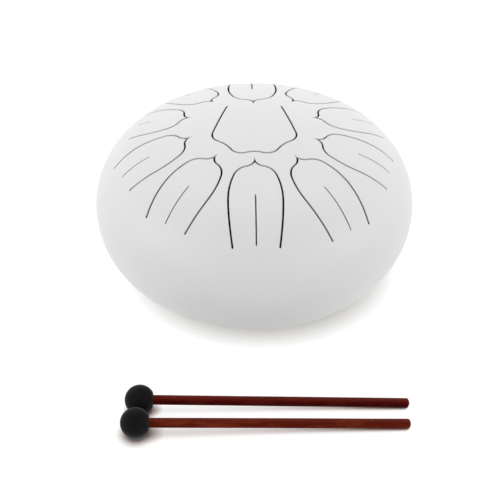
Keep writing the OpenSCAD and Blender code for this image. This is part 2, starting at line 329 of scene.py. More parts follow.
def ringsOf(turn, r, z):
    # Rings (count, around, 3) of a surface round the z axis, from columns or grids of radius and height
    return np.stack(np.broadcast_arrays(r * np.cos(turn), r * np.sin(turn), z), -1)


def fromAxis(xy):
    return np.hypot(xy[:, 0], xy[:, 1])


def unit(vectors):
    return vectors / np.linalg.norm(vectors, axis=1)[:, None]


def towards(a, b):
    return math.atan2(b[1] - a[1], b[0] - a[0])


def turnBy(points, degrees):
    a = math.radians(degrees)
    return points @ np.array([[math.cos(a), math.sin(a)], [-math.sin(a), math.cos(a)]])


def domeHeight(r, inset=0.0):
    # Inside the join z = H - R + sqrt((R - inset)^2 - r^2), outside it z = sqrt((s - inset)^2 - (r - c)^2)
    crown = drum["height"] - crownR + np.sqrt(np.maximum((crownR - inset) ** 2 - r ** 2, 0))
    side = np.sqrt(np.maximum((shoulder - inset) ** 2 - np.maximum(r - rimC, 0) ** 2, 0))
    return np.where(r < joinR - inset * math.cos(joinAngle), crown, side)


def domeNormal(xy, inset=0.0):
    # Away from the crown's centre inside the join, and away from the shoulder's ring outside it
    r = fromAxis(xy)
    onCrown = r < joinR - inset * math.cos(joinAngle)
    out = np.where(onCrown, r, r - rimC)
    up = domeHeight(r, inset) + np.where(onCrown, crownR - drum["height"], 0)
    return unit(np.column_stack([xy * (out / np.maximum(r, tiny))[:, None], up]))


def unroll(xy):
    # A plan point moves out to the length of the shell's line from the axis to it
    r = fromAxis(xy)
    side = shoulder * (joinAngle - np.arccos(np.clip((r - rimC) / shoulder, -1, 1)))
    length = np.where(r < joinR, crownR * np.arcsin(np.minimum(r, joinR) / crownR), toJoin + side)
    return xy * (length / np.maximum(r, tiny))[:, None]


def radiusAt(length):
    # The inverse of unroll: r = R sin(l / R) to the join, then r = c + s cos(join angle - rest / s)
    side = rimC + shoulder * np.cos(joinAngle - np.maximum(length - toJoin, 0) / shoulder)
    return np.where(length < toJoin, crownR * np.sin(length / crownR), side)


# The ring tongues: points and roots are shares of the drum's radius, turns and leans of a tongue's sector
tongues = {"slot": 1.4, "endHole": 1.6, "slit": 0.95, "width": 39.4, "wideAt": 38.0, "pointR": 8.4,
           "pointSlot": 0.4, "hollowSlant": 12.0, "cornerR": 13.0, "rootFlankR": 160.0, "slitFrom": 35.0,
           "hollowSteps": 12, "cornerSteps": 14, "flankSteps": 16, "rootSteps": 26, "capSteps": 12,
           "tipSteps": 7, "slitSteps": 26, "slitEndSteps": 9,
           "points": [0.342, 0.382, 0.374, 0.373, 0.391, 0.264, 0.407, 0.408, 0.386, 0.368],
           "roots": [0.881, 0.897, 0.840, 0.796, 0.730, 0.712, 0.721, 0.764, 0.837, 0.863],
           "turns": [0.005, 0.042, -0.027, -0.003, -0.010, 0.032, 0.071, -0.029, -0.109, -0.014],
           "leans": [0.014, -0.015, 0.150, 0.076, 0.007, -0.001, -0.051, 0.098, 0.274, 0.039]}


def capRun(centre, direction, h, radius, count):
    # Round end of a slot of half width h: an arc of the radius from the left side over the end to the right
    spread = math.pi - math.asin(min(h / radius, 1))
    return centre + radius * aim(direction + np.linspace(spread, -spread, count))


def tongueLoop(reach, grow, t):
    # The slot's wall, grown: hollow, corner, flank and root arcs out along one side, round the end and back
    h = t["slot"] / 2 + grow
    slant = math.radians(t["hollowSlant"])
    hollowC = np.array([0, t["pointR"] - (t["slot"] - t["pointSlot"]) / 2])
    cornerC = hollowC + (t["pointR"] + t["cornerR"]) * aim(-slant)
    rise, run = t["width"] / 2 - cornerC[1], t["wideAt"] - cornerC[0]
    flankR = (rise ** 2 + run ** 2 - t["cornerR"] ** 2) / (2 * (rise - t["cornerR"]))
    flankC = np.array([t["wideAt"], t["width"] / 2 - flankR])
    rootC = np.array([t["wideAt"], t["width"] / 2 - t["rootFlankR"]])
    meet = towards(flankC, cornerC)
    last = math.pi / 2 - math.asin((reach - t["wideAt"]) / t["rootFlankR"])
    hole = t["endHole"] / 2 + grow
    stop = last + math.sqrt(hole ** 2 - h ** 2) / t["rootFlankR"]
    cusp = -math.asin(hollowC[1] / (t["pointR"] + h))
    # An arc's centre, radius, 1 where the run out lies outside it, the angles where that run starts and where
    # the run back ends, the angle where both meet the next arc, and its points
    arcs = [(hollowC, t["pointR"], -1, -math.pi / 2, cusp, -slant, t["hollowSteps"]),
            (cornerC, t["cornerR"], 1, math.pi - slant, math.pi - slant, meet, t["cornerSteps"]),
            (flankC, flankR, 1, meet, meet, math.pi / 2, t["flankSteps"]),
            (rootC, t["rootFlankR"], 1, math.pi / 2, math.pi / 2, stop, t["rootSteps"])]
    out = [(c + (r + s * h) * aim(np.linspace(a, b, count)))[:-1] for c, r, s, a, _, b, count in arcs]
    back = [(c + (r - s * h) * aim(np.linspace(b, a, count)))[1:] for c, r, s, _, a, b, count in arcs[::-1]]
    cap = capRun(rootC + t["rootFlankR"] * aim(last), last - math.pi / 2, h, hole, t["capSteps"])
    side = np.concatenate(out + [cap] + back)
    tip = (t["pointSlot"] / 2 + grow) * aim(np.linspace(-math.pi / 2, -3 * math.pi / 2, t["tipSteps"]))[1:-1]
    return np.concatenate([side, (side * [1, -1])[::-1][1:], tip])[::-1]


def slitLoop(start, end, grow, t):
    # A straight slit with round ends
    h = t["slit"] / 2 + grow
    straight = np.linspace(start, end, t["slitSteps"])[1:-1]
    side = np.full(len(straight), h)
    ends = np.array([end, 0]) + h * aim(np.linspace(-math.pi / 2, math.pi / 2, t["slitEndSteps"]))
    begins = np.array([start, 0]) + h * aim(np.linspace(math.pi / 2, 3 * math.pi / 2, t["slitEndSteps"]))
    return np.concatenate([ends, np.column_stack([straight[::-1], side]), begins,
                           np.column_stack([straight, -side])])


# The centre tongue, rooted at the back and scalloped at the front
centreTongue = {"root": 29.3, "rootWidth": 43.0, "width": 64.0, "cornerAt": 13.0, "cornerR": 11.2,
                "front": 37.6, "lobeSpread": 18.0, "lobeR": 9.8, "lobeDip": 1.4, "neckR": 30.0,
                "sideSteps": 36, "arcSteps": 18}


def circlesBeside(a, ra, b, rb):
    # The point at distance ra from a and rb from b, on the right hand side going from a to b
    d = np.linalg.norm(b - a)
    along = (ra ** 2 - rb ** 2 + d ** 2) / (2 * d)
    heading = towards(a, b)
    return a + along * aim(heading) + math.sqrt(ra ** 2 - along ** 2) * aim(heading - math.pi / 2)


def centreLoop(grow, c, t):
    # Straight side, corner, neck, lobe and dip arcs, offset to both sides of the slot's middle line
    h, hole = t["slot"] / 2 + grow, t["endHole"] / 2 + grow
    root = np.array([c["rootWidth"] / 2, c["root"]])
    corner = np.array([c["width"] / 2 - c["cornerR"], -c["cornerAt"]])
    lobe = np.array([c["lobeSpread"] / 2, c["lobeR"] - c["front"]])
    neck = circlesBeside(lobe, c["lobeR"] + c["neckR"], corner, c["cornerR"] + c["neckR"])
    drop = c["lobeR"] - c["lobeDip"]
    dipR = (lobe[0] ** 2 + drop ** 2 - c["lobeR"] ** 2) / (2 * c["lobeDip"])
    dip = np.array([0, c["lobeDip"] - c["front"] - dipR])
    span = np.linalg.norm(corner - root)
    heading = towards(root, corner) + math.asin(c["cornerR"] / span)
    length = math.sqrt(span ** 2 - c["cornerR"] ** 2)
    back = math.sqrt(hole ** 2 - h ** 2)

    def side(s):
        # s is 1 on the outside of the slot and -1 on the tongue
        def arc(centre, radius, a0, a1, sign):
            a1 = a0 + (a1 - a0 + math.pi) % (2 * math.pi) - math.pi
            return centre + (radius + sign * s * h) * aim(np.linspace(a0, a1, c["arcSteps"]))[1:]
        line = np.linspace(back, length, c["sideSteps"])[:, None] * aim(heading)
        line = line + s * h * aim(heading + math.pi / 2)
        return np.concatenate([
            root + line,
            arc(corner, c["cornerR"], heading + math.pi / 2, towards(corner, neck), 1),
            arc(neck, c["neckR"], towards(neck, corner), towards(neck, lobe), -1),
            arc(lobe, c["lobeR"], towards(lobe, neck), towards(lobe, dip), 1),
            arc(dip, dipR, towards(dip, lobe), math.pi / 2, -1)])
    outside, inside = side(1), side(-1)
    cap = capRun(root, heading + math.pi, h, hole, t["capSteps"])[1:-1]
    return np.concatenate([outside, (outside * [-1, 1])[::-1][1:], (cap * [-1, 1])[::-1], inside * [-1, 1],
                           inside[::-1][1:], cap])[::-1]


def slotLoops(grow):
    t, loops, sector = tongues, [], 360 / len(tongues["points"])
    for i, (point, root, turn, lean) in enumerate(zip(t["points"], t["roots"], t["turns"], t["leans"])):
        point, root = point * drum["radius"], root * drum["radius"]
        for loop in (tongueLoop(root - point, grow, t), slitLoop(t["slitFrom"], root - point, grow, t)):
            # The first tongue points to the front
            loops.append(turnBy(turnBy(loop, sector * lean) + [point, 0], sector * (i + turn) - 90))
    return loops + [centreLoop(grow, centreTongue, t)]


def insideLoop(points, loop):
    # A point whose line to the right crosses the loop an odd number of times is inside
    a, b = loop, np.roll(loop, -1, 0)
    px, py = points[:, :1], points[:, 1:]
    crosses = (a[:, 1] > py) != (b[:, 1] > py)
    rise = np.where(b[:, 1] == a[:, 1], 1, b[:, 1] - a[:, 1])
    return (crosses & (px < a[:, 0] + (py - a[:, 1]) * (b[:, 0] - a[:, 0]) / rise)).sum(1) % 2 == 1


def quads(rowA, rowB):
    # Faces between two closed rows of vertex numbers
    a1, b1 = np.roll(rowA, -1), np.roll(rowB, -1)
    return np.column_stack([rowA, a1, b1, rowB])


def freePoints(loops):
    # Rings of points spaced evenly along the shell, less those near or inside a loop
    rings = [np.zeros((1, 2))]
    reach = np.linalg.norm(unroll(np.array([[drum["fieldRadius"], 0.0]])))
    count = int(reach / drum["spacing"])
    for k in range(1, count):
        r = float(radiusAt(reach * k / count))
        n = max(drum["fewestAround"], round(2 * math.pi * r / drum["spacing"]))
        rings.append(r * aim(2 * math.pi * (np.arange(n) + 0.5 * (k % 2)) / n))
    free = np.concatenate(rings)
    for loop in loops:
        apart = free[:, None] - loop
        clear = np.hypot(apart[..., 0], apart[..., 1]).min(1) > drum["loopClear"]
        free = free[clear & ~insideLoop(free, loop)]
    return free


def field(loops):
    # The free points, the loops and the outer ring, joined by the triangles that the constrained Delaunay
    # rule gives on the unrolled shell, less those inside a loop
    free = freePoints(loops)
    sizes = [len(x) for x in loops] + [len(aroundRim)]
    starts = len(free) + np.concatenate([[0], np.cumsum(sizes)])
    plan = np.concatenate([free, *loops, drum["fieldRadius"] * aim(aroundRim)])
    loopOf = np.full(len(plan), -1)
    lines, rows = [], []
    for k, n in enumerate(sizes):
        row = np.arange(starts[k], starts[k] + n)
        loopOf[row] = k
        rows.append(row)
        lines.append(np.column_stack([row, np.roll(row, -1)]))
    flat = [Vector(p) for p in unroll(plan).tolist()]
    made = delaunay_2d_cdt(flat, np.concatenate(lines).tolist(), [], 0, drum["sameWithin"], True)
    if len(made[0]) != len(plan):
        raise ValueError("two points of the field fell together")
    source = np.array([ids[0] for ids in made[3]])
    faces = source[np.array(made[2])]
    whole = np.all(loopOf[faces] == loopOf[faces[:, :1]], axis=1)
    keep = np.ones(len(faces), bool)
    for k, loop in enumerate(loops):
        inLoop = np.nonzero(whole & (loopOf[faces[:, 0]] == k))[0]
        keep[inLoop] = ~insideLoop(plan[faces[inLoop]].mean(1), loop)
    faces = faces[keep]
    a, b, c = plan[faces[:, 0]], plan[faces[:, 1]], plan[faces[:, 2]]
    turned = (b[:, 0] - a[:, 0]) * (c[:, 1] - a[:, 1]) - (b[:, 1] - a[:, 1]) * (c[:, 0] - a[:, 0]) < 0
    faces[turned] = faces[turned][:, ::-1]
    return plan, faces, rows


def addRow(shell, xyz, down=0.0):
    # Adds points and gives their numbers; down is their way down a cut, from 0 at the lip to 1 on bare steel
    start = sum(len(row) for row in shell["points"])
    shell["points"].append(xyz)
    shell["downCut"].append(np.full(len(xyz), down))
    return np.arange(start, start + len(xyz))


def addStrip(shell, rowA, rowB, normalA, normalB, bare=0):
    # Adds the faces between two rows, with the rows' normals at their corners; bare is 1 on unlacquered steel
    shell["faces"].append(quads(rowA, rowB))
    shell["bare"].append(np.full(len(rowA), bare))
    shell["normals"].append(np.stack([normalA, np.roll(normalA, -1, 0), np.roll(normalB, -1, 0), normalB], 1))


def cutWall(shell, row, inner, bottom, outerLoop, wallLoop):
    # Lip: a quarter round, out by lip (1 - cos a) and down by lip (1 - sin a), then the straight wall to the
    # inside, lacquered down to its depth
    lip, steps = drum["lip"], drum["lipSteps"]
    away = outerLoop - wallLoop
    sideways = np.column_stack([unit(away), np.zeros(len(away))])
    up = domeNormal(outerLoop)
    before, normalBefore = row, up
    for step in range(1, steps + 1):
        a = math.pi / 2 * (1 - step / steps)
        at = wallLoop + away * (1 - math.cos(a))
        z = domeHeight(fromAxis(at)) - lip * (1 - math.sin(a))
        normal = unit(up * math.sin(a) - sideways * math.cos(a))
        now = addRow(shell, np.column_stack([at, z]), drum["lipShade"] * step / steps)
        addStrip(shell, before, now, normalBefore, normal)
        before, normalBefore = now, normal
    part = (drum["lacqueredDepth"] - lip) / (wall - lip)
    lipEnd = shell["points"][-1]
    edge = addRow(shell, lipEnd + (bottom - lipEnd) * part, 1.0)
    addStrip(shell, before, edge, -sideways, -sideways)
    addStrip(shell, edge, inner, -sideways, -sideways, 1)


def rimArc(shell, radius, first, last, before, end=None):
    # Strips along an arc round the shoulder's ring, from the row before to a new row, or to the row end on
    # the inside, which is bare and faces in
    steps, out = drum["rimSteps"], 1 if end is None else -1
    a = first
    for step in range(1, steps + 1):
        b = first + (last - first) * step / steps
        if step == steps and end is not None:
            now = end
        else:
            now = addRow(shell, flatRing(aroundRim, rimC + radius * math.cos(b), radius * math.sin(b)))
        normals = [flatRing(aroundRim, out * math.cos(angle), out * math.sin(angle)) for angle in (b, a)]
        addStrip(shell, now, before, *normals, int(out < 0))
        before, a = now, b
    return before


def shellRim(shell, outer, inner):
    # Down the shoulder's arc to the weld groove, in along it and its land, and up the inner arc; gives the
    # rows whose edges are sharp
    toField, width, depth = drum["fieldRadius"] - rimC, drum["weldHalf"], wall - drum["weldLand"]
    rim = rimArc(shell, shoulder, math.acos(toField / shoulder), math.asin(width / shoulder), outer)
    across = math.hypot(depth, width)
    groove = addRow(shell, flatRing(aroundRim, drum["radius"] - depth, 0))
    flank, below = flatRing(aroundRim, width / across, -depth / across), flatRing(aroundRim, 0, -1)
    addStrip(shell, groove, rim, flank, flank)
    land = addRow(shell, flatRing(aroundRim, drum["radius"] - wall, 0))
    addStrip(shell, land, groove, below, below)
    rimArc(shell, shoulder - wall, 0, math.acos(toField / (shoulder - wall)), land, inner)
    return [rim, groove, land]


def newMesh(name, points, faces):
    mesh = bpy.data.meshes.new(name)
    mesh.from_pydata((points * millimetre).tolist(), [], faces)
    mesh.polygons.foreach_set("use_smooth", np.ones(len(faces), bool))
    return mesh


def pressedShell(name, outerLoops, wallLoops, innerLoops, facing):
    # outerLoops are the lips' outer edges, wallLoops the cut's own edges and innerLoops those on the inside;
    # facing is 1 for the upper shell and -1 for the lower one
    plan, faces, rows = field(outerLoops)
    shell = {"points": [], "downCut": [], "faces": [], "bare": [], "normals": []}
    addRow(shell, np.column_stack([plan, domeHeight(fromAxis(plan))]))
    innerPlan = plan.copy()
    for row, inner in zip(rows, innerLoops):
        innerPlan[row] = inner
    innerPoints = np.column_stack([innerPlan, domeHeight(fromAxis(innerPlan), wall)])
    innerRow = addRow(shell, innerPoints, 1.0)
    for row, outerLoop, wallLoop in zip(rows, outerLoops, wallLoops):
        cutWall(shell, row, innerRow[row], innerPoints[row], outerLoop, wallLoop)
    sharp = shellRim(shell, rows[-1], innerRow[rows[-1]]) + [innerRow[row] for row in rows[:-1]]

    back = faces[:, ::-1]
    sets = [(faces, domeNormal(plan)[faces]), (innerRow[back], -domeNormal(innerPlan, wall)[back]),
            (np.concatenate(shell["faces"]), np.concatenate(shell["normals"]))]
    if facing < 0:
        # The mirrored shell turns every face round about its first corner
        sets = [[np.roll(x[:, ::-1], 1, 1) for x in pair] for pair in sets]
    points = np.concatenate(shell["points"]) * [1, 1, facing] + [0, drum["centreY"], drum["seamZ"]]
    corners = np.concatenate([normals.reshape(-1, 3) for _, normals in sets]) * [1, 1, facing]
    inside = np.concatenate([np.zeros(len(faces)), np.ones(len(faces)), *shell["bare"]]).astype(np.int32)
    mesh = newMesh(name, points, [face for made, _ in sets for face in made.tolist()])
    downCut = mesh.attributes.new("downCut", "FLOAT", "POINT")
    downCut.data.foreach_set("value", np.concatenate(shell["downCut"]))
    mesh.polygons.foreach_set("material_index", inside)
    isSharp = np.zeros(len(points), bool)
    isSharp[np.concatenate(sharp)] = True
    ends = np.empty(2 * len(mesh.edges), np.int32)
    mesh.edges.foreach_get("vertices", ends)
    mesh.edges.foreach_set("use_edge_sharp", isSharp[ends.reshape(-1, 2)].all(1))
    mesh.update()
    mesh.normals_split_custom_set(corners.tolist())
    return mesh


def addPiece(mesh, materials, body, slot, *nodes):
    piece = bpy.data.objects.new(mesh.name, mesh)
    for material in materials:
        mesh.materials.append(material)
    scene.collection.objects.link(piece)
    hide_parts(*nodes)
    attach(piece, body)


def shadedDownCuts(tree, v, colour, mottle):
    # Painted shade: grey that deepens over the lip and down the cuts, patchy with the mottle
    down = newNode(tree, "Attribute", attribute_name="downCut").outputs["Fac"]
    cutShade = ranged(tree, mathNode(tree, "MULTIPLY_ADD", mottle, v["patchiness"], down), *v["thinning"], 0, 1)
    return blended(tree, cutShade, colour, v["overspray"]), mottle


def scaly(tree, v, colour, mottle):
    # Darker and rougher mill scale in blotches
    blotch = ranged(tree, mottle, *v["blotches"], 0, 1)
    return blended(tree, blotch, colour, v["scaleColour"]), blotch


# Satin white powder coat with an orange-peel skin and painted shade down its cuts, and the bare rolled steel
# inside
lacquer = cloudedMaterial({
    "name": "whiteLacquer", "sockets": {"IOR": 1.5}, "cloudSize": 0.07, "colour": (0.79, 0.797, 0.792),
    "cloudColour": (0.808, 0.812, 0.808), "overspray": (0.4, 0.4, 0.4), "patchiness": 0.3,
    "thinning": (0.5, 1.3), "mottle": (0.3, 0.7), "roughness": (0.38, 0.46), "grainSize": 0.0018,
    "grain": 0.25, "grainDepth": 0.000012}, shadedDownCuts)
steelInside = cloudedMaterial({
    "name": "rawSteelInside", "sockets": {"Metallic": 0.6}, "cloudSize": 0.03, "colour": (0.075, 0.073, 0.07),
    "cloudColour": (0.07, 0.062, 0.054), "scaleColour": (0.028, 0.027, 0.027), "blotches": (0.42, 0.62),
    "mottle": (0, 1), "roughness": (0.45, 0.7), "grainSize": 0.0012, "grain": 0.6,
    "grainDepth": 0.00002}, scaly)

# Feet, on a ring round the drum's axis; gap is the air under the drum, grip the rubber under a screw's head.
# The rows are steps in from the sole's rim and up, in from the top's and down, and out from the recess and up
foot = {"ring": 52.0, "gap": 7.0, "sole": 20.0, "soleRim": [(1.6, 0), (0.5, 0), (0, 1.4)], "top": 25.0,
        "wallUp": 2.4, "sideRounds": (0, 0.5, 0.5, 1.4, 0), "topEdge": [(0, 0.35), (0.1, 0.1), (0.4, 0)],
        "topRings": (8.0, 5.0, 2.6), "grip": 5.0, "hole": 4.4, "holeRound": 0.2, "recess": 9.6,
        "recessRound": 0.25, "recessEdge": [(0, 0.35), (0.1, 0.1), (0.35, 0)], "around": 72, "sharpAngle": 50,
        "angles": {"Back": 90, "Left": 210, "Right": 330}}
# The feet's screws stand square to the lower shell's crown, whose centre is above the floor
crownZ = foot["gap"] + crownR
tilt = math.atan2(foot["ring"], crownZ)
# The lower shell's openings
lowerHoles = {"soundHole": 28.0, "soundSteps": 96, "screwSteps": 28}


def lowerLoops(grow, r=crownR):
    # The screw holes lie on a sphere of radius r round the crown's centre, at r times the sine of the tilt
    v = lowerHoles
    screw = (foot["hole"] / 2 + grow) * aim(circle(v["screwSteps"])) * [math.cos(tilt), 1]
    sound = (v["soundHole"] + grow) * aim(circle(v["soundSteps"]))
    return [sound] + [turnBy(screw + [r * math.sin(tilt), 0], a) for a in foot["angles"].values()]


for side, loops, inner, facing in (("upper", slotLoops, slotLoops(0), 1),
                                   ("lower", lowerLoops, lowerLoops(0, crownR - wall), -1)):
    mesh = pressedShell(side + "Shell", loops(drum["lip"]), loops(0), inner, facing)
    addPiece(mesh, [lacquer, steelInside], "drum", "shell_lacquer", side + "_shell")
    print(side, "shell", len(mesh.vertices), "vertices", len(mesh.polygons), "faces")


def ringed(rings, closed=False):
    # Closed rings (count, around, 3) joined in order; the last meets the first, or both end in a middle point
    count, around = rings.shape[:2]
    index = np.arange(count * around).reshape(count, around)
    points, faces = rings.reshape(-1, 3), [quads(a, b) for a, b in zip(index[:-1], index[1:])]
    if closed:
        return points, faces + [quads(index[-1], index[0])]
    low, high = count * around, count * around + 1
    points = np.concatenate([points, rings[0].mean(0)[None], rings[-1].mean(0)[None]])
    first, last = index[0], index[-1]
    fans = [np.column_stack([np.full(around, low), np.roll(first, -1), first]),
            np.column_stack([last, np.roll(last, -1), np.full(around, high)])]
    return points, faces + fans


def turned(profile, around, closed=False):
    # A profile of (radius, height) points carried round the z axis
    return ringed(ringsOf(circle(around), profile[:, :1], profile[:, 1:]), closed)


def rounded(corners, radius, steps=4, closed=False):
    # Each corner of a profile gives way to a curve between two points at the radius from it:
    # p = (1 - t)^2 a + 2 t (1 - t) corner + t^2 b
    corners = np.array(corners, float)
    radius = np.broadcast_to(radius, len(corners))
    t, out = np.linspace(0, 1, steps + 1)[:, None], []
    for i, p in enumerate(corners):
        if not closed and i in (0, len(corners) - 1) or radius[i] == 0:
            out.append(p[None])
            continue
        before, after = corners[i - 1] - p, corners[(i + 1) % len(corners)] - p
        a = p + before / np.linalg.norm(before) * radius[i]
        b = p + after / np.linalg.norm(after) * radius[i]
        out.append((1 - t) ** 2 * a + 2 * t * (1 - t) * p + t ** 2 * b)
    return np.concatenate(out)


def placed(part, turn, place):
    # A part is its points and the strips of faces between them
    return part[0] @ turn.T + place, part[1]


def madeOf(name, parts, sharpAngle):
    # One mesh of several parts, smooth but for edges sharper than the angle
    faces, start = [], 0
    for xyz, strips in parts:
        faces += [face for strip in strips for face in (strip + start).tolist()]
        start += len(xyz)
    mesh = newMesh(name, np.concatenate([xyz for xyz, _ in parts]), faces)
    mesh.set_sharp_from_angle(angle=math.radians(sharpAngle))
    mesh.update()
    return mesh


def turnZ(degrees):
    c, s = math.cos(math.radians(degrees)), math.sin(math.radians(degrees))
    return np.array([[c, -s, 0], [s, c, 0], [0, 0, 1]])


def turnY(degrees):
    c, s = math.cos(math.radians(degrees)), math.sin(math.radians(degrees))
    return np.array([[c, 0, s], [0, 1, 0], [-s, 0, c]])


# Seam weld, ground flush and lacquered over: the shoulder's arc between the two shells and a V behind it
weld = {"arcSteps": 6, "unevenness": 0.012, "ripples": (23, 41), "sharpAngle": 40}


def weldRing(v):
    # r = c + s cos a for a across the seam, less a slow ripple; the last ring is the bottom of the V
    reach = math.asin(drum["weldHalf"] / shoulder)
    a = np.linspace(-reach, reach, v["arcSteps"] + 1)[:, None]
    few, many = v["ripples"]
    ripple = v["unevenness"] * (np.sin(few * aroundRim) + np.sin(many * aroundRim + 1)) / 2
    fade = 1 - (a / reach) ** 2
    r = rimC + shoulder * np.cos(a) - fade * (v["unevenness"] + ripple)
    bottom = flatRing(aroundRim, drum["radius"] - wall + drum["weldLand"], 0)[None]
    return ringed(np.concatenate([ringsOf(aroundRim, r, shoulder * np.sin(a)), bottom]), True)


weldPart = placed(weldRing(weld), np.eye(3), [0, drum["centreY"], drum["seamZ"]])
addPiece(madeOf("seamWeld", [weldPart], weld["sharpAngle"]), [lacquer], "drum", "shell_lacquer", "seam_weld")
print("weld")


def underShell(x, y):
    # Height of the lower shell's outside: crown centre less sqrt(R^2 - r^2)
    return crownZ - np.sqrt(crownR ** 2 - x ** 2 - y ** 2)


def footPart(v):
    # Rings round the upright axis up the outside and over the moulded top, then round the screw's axis down
    # the hole, out along the recess and down it, and back over the sole
    turn = circle(v["around"])
    c, s = np.cos(turn), np.sin(turn)
    top, gap = v["top"] / 2, v["gap"]
    rim = [(v["sole"] / 2 - inwards, z) for inwards, z in v["soleRim"]]
    side = rounded(rim + [(top, gap), (top, gap + v["wallUp"])], v["sideRounds"])
    rings = [*(ringsOf(turn, side[:, :1], side[:, 1:]) + [v["ring"], 0, 0])]
    for inwards, down in v["topEdge"]:
        x, y = v["ring"] + (top - inwards) * c, (top - inwards) * s
        rings.append(np.stack([x, y, underShell(x, y) - down], -1))
    across, up = np.array([math.cos(tilt), 0, math.sin(tilt)]), np.array([-math.sin(tilt), 0, math.cos(tilt)])

    def onScrew(r, distance):
        # A ring round the screw, at a distance from the crown's centre
        return [0, 0, crownZ] - up * distance + r * (c[:, None] * across + s[:, None] * [0, 1, 0])
    for r in v["topRings"]:
        at = onScrew(r, crownR)
        at[:, 2] = underShell(at[:, 0], at[:, 1])
        rings.append(at)
    floor, hole, recess = crownR + v["grip"], v["hole"] / 2, v["recess"] / 2
    bend, corner = v["holeRound"], v["recessRound"]
    rings += [onScrew(hole, crownR + bend), onScrew(hole, floor - bend), onScrew(hole + bend, floor),
              onScrew(recess - corner, floor), onScrew(recess, floor + corner)]
    for outwards, z in v["recessEdge"]:
        at = onScrew(recess + outwards, floor)
        rings.append(at - up * ((at[:, 2:] - z) / math.cos(tilt)))
    return ringed(np.array(rings), True)


# Moulded black rubber: a fine matt grain with slow cloudy changes of tone
footRubber = cloudedMaterial({
    "name": "footRubber", "sockets": {"Specular IOR Level": 0.3}, "cloudSize": 0.012,
    "colour": (0.02, 0.02, 0.021), "cloudColour": (0.034, 0.033, 0.032), "mottle": (0.3, 0.7),
    "roughness": (0.55, 0.75), "grainSize": 0.0006, "grain": 0.5, "grainDepth": 0.00003})
for side, angle in foot["angles"].items():
    part = placed(footPart(foot), turnZ(angle), [0, drum["centreY"], 0])
    addPiece(madeOf("foot" + side, [part], foot["sharpAngle"]), [footRubber], "drum", "foot_rubber",
             "foot_" + side.lower())
print("feet")

# Fasteners: pan head screws with a cross recess, washers and chamfered nuts. crossRings are the first and
# last radius and their count; domeEdge has steps in and down, nutCone depths and shares of the half width
fastener = {"shank": 4.0, "length": 14.0, "around": 64, "headWidth": 8.0, "headHeight": 2.4, "headDome": 0.96,
            "crossRings": (0.12, 2.6, 17), "domeRings": (3.0, 3.4, 3.7, 3.85), "headRound": 0.15, "neck": 0.1,
            "domeEdge": [(0.04, 0.02), (0, 0.14)], "crossWidth": 1.0, "crossReach": 2.1, "crossDepth": 1.3,
            "crossFlank": 0.16, "crossEnd": 0.5, "pitch": 0.7, "threadDepth": 0.38, "threadStep": 0.1,
            "threadFrom": 0.8, "threadTo": 0.3, "endChamfer": 0.45, "washer": 9.0, "washerThick": 0.8,
            "washerRound": 0.14, "washerSteps": 3, "bore": 4.4, "nutWidth": 7.0, "nutHeight": 3.2,
            "nutAround": 72, "nutCone": [(0, 0.96), (0.3, 1.08), (0.5, 2)], "nutChamfer": 0.3,
            "sharpAngle": 35}


def screwPart(v):
    # Head: z = dome(r) plus the cross's depth where the nearer of |x| and |y| lies inside an arm.
    # Shank: r = R - depth (0.5 + 0.5 cos(2 pi z / pitch - turn)), a ridge that climbs as it turns
    turn, headR, shankR = circle(v["around"]), v["headWidth"] / 2, v["shank"] / 2
    domeR = (headR ** 2 + v["headDome"] ** 2) / (2 * v["headDome"])
    r = np.concatenate([np.linspace(*v["crossRings"]), v["domeRings"]])[:, None]
    x, y = abs(r * np.cos(turn)), abs(r * np.sin(turn))
    arm = np.clip((v["crossWidth"] / 2 - np.minimum(x, y)) / v["crossFlank"], 0, 1)
    arm *= np.clip((v["crossReach"] - np.maximum(x, y)) / v["crossEnd"], 0, 1)
    z = -v["headHeight"] + domeR - np.sqrt(domeR ** 2 - r ** 2) + v["crossDepth"] * arm
    edge, bend = v["headDome"] - v["headHeight"], v["headRound"]
    rims = [(headR - inwards, edge + down) for inwards, down in v["domeEdge"]]
    rims += [(headR, -bend), (headR - bend, 0), (shankR + v["neck"], 0)]
    rest = np.array([flatRing(turn, *rim) for rim in rims])
    down = np.arange(v["threadStep"], v["length"] - v["endChamfer"], v["threadStep"])[:, None]
    fade = np.clip(np.minimum(down - v["threadFrom"], v["length"] - v["threadTo"] - down) / v["pitch"], 0, 1)
    ridge = 0.5 + 0.5 * np.cos(2 * math.pi * down / v["pitch"] - turn)
    shank = ringsOf(turn, shankR - v["threadDepth"] * fade * ridge, down)
    end = flatRing(turn, shankR - v["endChamfer"], v["length"])[None]
    return ringed(np.concatenate([ringsOf(turn, r, z), rest, shank, end]))


def washerPart(v):
    a, b, t = v["bore"] / 2, v["washer"] / 2, v["washerThick"]
    profile = rounded([(a, 0), (b, 0), (b, t), (a, t)], v["washerRound"], v["washerSteps"], True)
    return turned(profile, v["around"], True)


def nutPart(v):
    # r = half the width over cos(angle from the nearest flat), held inside the cone of each chamfer
    turn, h, cut = circle(v["nutAround"]), v["nutHeight"], v["nutChamfer"]
    half, bore = v["nutWidth"] / 2, v["shank"] / 2
    flat = half / np.cos(turn % (math.pi / 3) - math.pi / 6)
    cones = v["nutCone"] + [(h - z, share) for z, share in v["nutCone"][::-1]]
    rims = [(np.minimum(flat, half * share)[:, None], z) for z, share in cones]
    rims += [(bore + cut, h), (bore, h - cut), (bore, cut), (bore + cut, 0)]
    return ringed(np.array([flatRing(turn, *rim) for rim in rims]), True)


def onScrews(part, distance):
    # Puts a part on all three screws, with its z = 0 at a distance from the crown's centre
    return [placed((part[0] - [0, 0, distance], part[1]), turnZ(a) @ turnY(-math.degrees(tilt)),
                   [0, drum["centreY"], crownZ]) for a in foot["angles"].values()]


